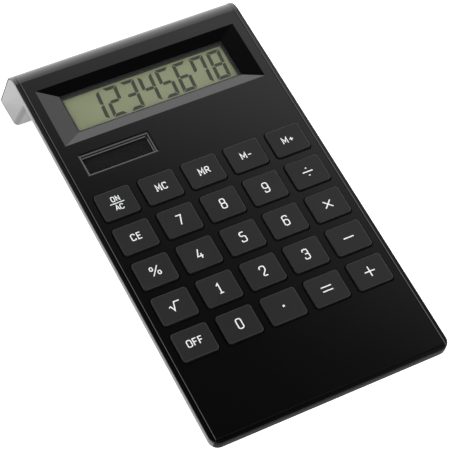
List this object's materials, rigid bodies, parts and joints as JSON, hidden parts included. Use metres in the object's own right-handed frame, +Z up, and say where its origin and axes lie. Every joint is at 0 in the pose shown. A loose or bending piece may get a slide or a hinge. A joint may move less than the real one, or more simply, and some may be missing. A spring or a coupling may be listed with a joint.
{
  "type": "pocket calculator",
  "caption": "Slim black desk-style pocket calculator that leans on a full-width rear leg, with a sloping display bezel, a solar window and sprung keys.",
  "frame": {"origin": "centre of the footprint, on the table the feet stand on", "axes": "+X to the user's right, +Y to the rear (the display end), +Z up; the face plate leans back 7.25 degrees from level"},
  "size_m": [0.0968, 0.1842, 0.0278],
  "materials": {
    "case_black": "black polished ABS, slightly satin",
    "base_black": "black polished ABS",
    "key_grey": "fine-textured dark grey ABS with white printed legend",
    "grey_rubber": "moulded silicone rubber",
    "board_laminate": "phenolic paper laminate",
    "carbon_pad": "printed carbon",
    "black_epoxy": "poured epoxy",
    "tan_ceramic": "ceramic",
    "black_ceramic": "ceramic",
    "clear_epoxy": "clear epoxy",
    "clear_pane": "clear acrylic",
    "frame_black": "matte ABS",
    "display_glass": "grey-green reflective liquid crystal cell",
    "ribbon_film": "polyimide film",
    "soft_foam": "closed-cell foam",
    "solar_glass": "amorphous silicon on glass",
    "lead_wire": "tinned copper",
    "nickel_steel": "nickel-plated",
    "spring_steel": "nickel-plated spring strip",
    "zinc_steel": "zinc-plated",
    "foot_rubber": "moulded rubber"
  },
  "bodies": {
    "case": {"top_cover": "case_black", "bottom_cover": "base_black", "rubber_mat": "grey_rubber", "main_board": "board_laminate", "contact_pads": "carbon_pad", "chip_blob": "black_epoxy", "capacitors": "tan_ceramic", "resistors": "black_ceramic", "limiter_led": "clear_epoxy", "display_window": "clear_pane", "display_frame": "frame_black", "lcd_panel": "display_glass", "lcd_ribbon": "ribbon_film", "foam_strips": "soft_foam", "solar_window": "clear_pane", "solar_cell": "solar_glass", "solar_leads": "lead_wire", "button_cell": "nickel_steel", "battery_contact_top": "spring_steel", "battery_contact_bottom": "spring_steel", "case_screws": "zinc_steel", "board_screws": "zinc_steel", "front_feet": "foot_rubber", "rear_feet": "foot_rubber"},
    "key_on_ac": {"key_on_ac": "key_grey"},
    "key_mc": {"key_mc": "key_grey"},
    "key_mr": {"key_mr": "key_grey"},
    "key_m_minus": {"key_m_minus": "key_grey"},
    "key_m_plus": {"key_m_plus": "key_grey"},
    "key_ce": {"key_ce": "key_grey"},
    "key_7": {"key_7": "key_grey"},
    "key_8": {"key_8": "key_grey"},
    "key_9": {"key_9": "key_grey"},
    "key_divide": {"key_divide": "key_grey"},
    "key_percent": {"key_percent": "key_grey"},
    "key_4": {"key_4": "key_grey"},
    "key_5": {"key_5": "key_grey"},
    "key_6": {"key_6": "key_grey"},
    "key_multiply": {"key_multiply": "key_grey"},
    "key_sqrt": {"key_sqrt": "key_grey"},
    "key_1": {"key_1": "key_grey"},
    "key_2": {"key_2": "key_grey"},
    "key_3": {"key_3": "key_grey"},
    "key_minus": {"key_minus": "key_grey"},
    "key_off": {"key_off": "key_grey"},
    "key_0": {"key_0": "key_grey"},
    "key_dot": {"key_dot": "key_grey"},
    "key_equals": {"key_equals": "key_grey"},
    "key_plus": {"key_plus": "key_grey"}
  },
  "joints": [
    {"name": "key_on_ac_press", "type": "slide", "parent": "case", "child": "key_on_ac", "axis": [0, 0.1262, -0.992], "range_m": [0, 0.0008], "stiffness_N_per_m": 600, "springref_m": -0.0003, "deforming": ["rubber_mat"]},
    {"name": "key_mc_press", "type": "slide", "parent": "case", "child": "key_mc", "axis": [0, 0.1262, -0.992], "range_m": [0, 0.0008], "stiffness_N_per_m": 600, "springref_m": -0.0003, "deforming": ["rubber_mat"]},
    {"name": "key_mr_press", "type": "slide", "parent": "case", "child": "key_mr", "axis": [0, 0.1262, -0.992], "range_m": [0, 0.0008], "stiffness_N_per_m": 600, "springref_m": -0.0003, "deforming": ["rubber_mat"]},
    {"name": "key_m_minus_press", "type": "slide", "parent": "case", "child": "key_m_minus", "axis": [0, 0.1262, -0.992], "range_m": [0, 0.0008], "stiffness_N_per_m": 600, "springref_m": -0.0003, "deforming": ["rubber_mat"]},
    {"name": "key_m_plus_press", "type": "slide", "parent": "case", "child": "key_m_plus", "axis": [0, 0.1262, -0.992], "range_m": [0, 0.0008], "stiffness_N_per_m": 600, "springref_m": -0.0003, "deforming": ["rubber_mat"]},
    {"name": "key_ce_press", "type": "slide", "parent": "case", "child": "key_ce", "axis": [0, 0.1262, -0.992], "range_m": [0, 0.0008], "stiffness_N_per_m": 600, "springref_m": -0.0003, "deforming": ["rubber_mat"]},
    {"name": "key_7_press", "type": "slide", "parent": "case", "child": "key_7", "axis": [0, 0.1262, -0.992], "range_m": [0, 0.0008], "stiffness_N_per_m": 600, "springref_m": -0.0003, "deforming": ["rubber_mat"]},
    {"name": "key_8_press", "type": "slide", "parent": "case", "child": "key_8", "axis": [0, 0.1262, -0.992], "range_m": [0, 0.0008], "stiffness_N_per_m": 600, "springref_m": -0.0003, "deforming": ["rubber_mat"]},
    {"name": "key_9_press", "type": "slide", "parent": "case", "child": "key_9", "axis": [0, 0.1262, -0.992], "range_m": [0, 0.0008], "stiffness_N_per_m": 600, "springref_m": -0.0003, "deforming": ["rubber_mat"]},
    {"name": "key_divide_press", "type": "slide", "parent": "case", "child": "key_divide", "axis": [0, 0.1262, -0.992], "range_m": [0, 0.0008], "stiffness_N_per_m": 600, "springref_m": -0.0003, "deforming": ["rubber_mat"]},
    {"name": "key_percent_press", "type": "slide", "parent": "case", "child": "key_percent", "axis": [0, 0.1262, -0.992], "range_m": [0, 0.0008], "stiffness_N_per_m": 600, "springref_m": -0.0003, "deforming": ["rubber_mat"]},
    {"name": "key_4_press", "type": "slide", "parent": "case", "child": "key_4", "axis": [0, 0.1262, -0.992], "range_m": [0, 0.0008], "stiffness_N_per_m": 600, "springref_m": -0.0003, "deforming": ["rubber_mat"]},
    {"name": "key_5_press", "type": "slide", "parent": "case", "child": "key_5", "axis": [0, 0.1262, -0.992], "range_m": [0, 0.0008], "stiffness_N_per_m": 600, "springref_m": -0.0003, "deforming": ["rubber_mat"]},
    {"name": "key_6_press", "type": "slide", "parent": "case", "child": "key_6", "axis": [0, 0.1262, -0.992], "range_m": [0, 0.0008], "stiffness_N_per_m": 600, "springref_m": -0.0003, "deforming": ["rubber_mat"]},
    {"name": "key_multiply_press", "type": "slide", "parent": "case", "child": "key_multiply", "axis": [0, 0.1262, -0.992], "range_m": [0, 0.0008], "stiffness_N_per_m": 600, "springref_m": -0.0003, "deforming": ["rubber_mat"]},
    {"name": "key_sqrt_press", "type": "slide", "parent": "case", "child": "key_sqrt", "axis": [0, 0.1262, -0.992], "range_m": [0, 0.0008], "stiffness_N_per_m": 600, "springref_m": -0.0003, "deforming": ["rubber_mat"]},
    {"name": "key_1_press", "type": "slide", "parent": "case", "child": "key_1", "axis": [0, 0.1262, -0.992], "range_m": [0, 0.0008], "stiffness_N_per_m": 600, "springref_m": -0.0003, "deforming": ["rubber_mat"]},
    {"name": "key_2_press", "type": "slide", "parent": "case", "child": "key_2", "axis": [0, 0.1262, -0.992], "range_m": [0, 0.0008], "stiffness_N_per_m": 600, "springref_m": -0.0003, "deforming": ["rubber_mat"]},
    {"name": "key_3_press", "type": "slide", "parent": "case", "child": "key_3", "axis": [0, 0.1262, -0.992], "range_m": [0, 0.0008], "stiffness_N_per_m": 600, "springref_m": -0.0003, "deforming": ["rubber_mat"]},
    {"name": "key_minus_press", "type": "slide", "parent": "case", "child": "key_minus", "axis": [0, 0.1262, -0.992], "range_m": [0, 0.0008], "stiffness_N_per_m": 600, "springref_m": -0.0003, "deforming": ["rubber_mat"]},
    {"name": "key_off_press", "type": "slide", "parent": "case", "child": "key_off", "axis": [0, 0.1262, -0.992], "range_m": [0, 0.0008], "stiffness_N_per_m": 600, "springref_m": -0.0003, "deforming": ["rubber_mat"]},
    {"name": "key_0_press", "type": "slide", "parent": "case", "child": "key_0", "axis": [0, 0.1262, -0.992], "range_m": [0, 0.0008], "stiffness_N_per_m": 600, "springref_m": -0.0003, "deforming": ["rubber_mat"]},
    {"name": "key_dot_press", "type": "slide", "parent": "case", "child": "key_dot", "axis": [0, 0.1262, -0.992], "range_m": [0, 0.0008], "stiffness_N_per_m": 600, "springref_m": -0.0003, "deforming": ["rubber_mat"]},
    {"name": "key_equals_press", "type": "slide", "parent": "case", "child": "key_equals", "axis": [0, 0.1262, -0.992], "range_m": [0, 0.0008], "stiffness_N_per_m": 600, "springref_m": -0.0003, "deforming": ["rubber_mat"]},
    {"name": "key_plus_press", "type": "slide", "parent": "case", "child": "key_plus", "axis": [0, 0.1262, -0.992], "range_m": [0, 0.0008], "stiffness_N_per_m": 600, "springref_m": -0.0003, "deforming": ["rubber_mat"]}
  ]
}
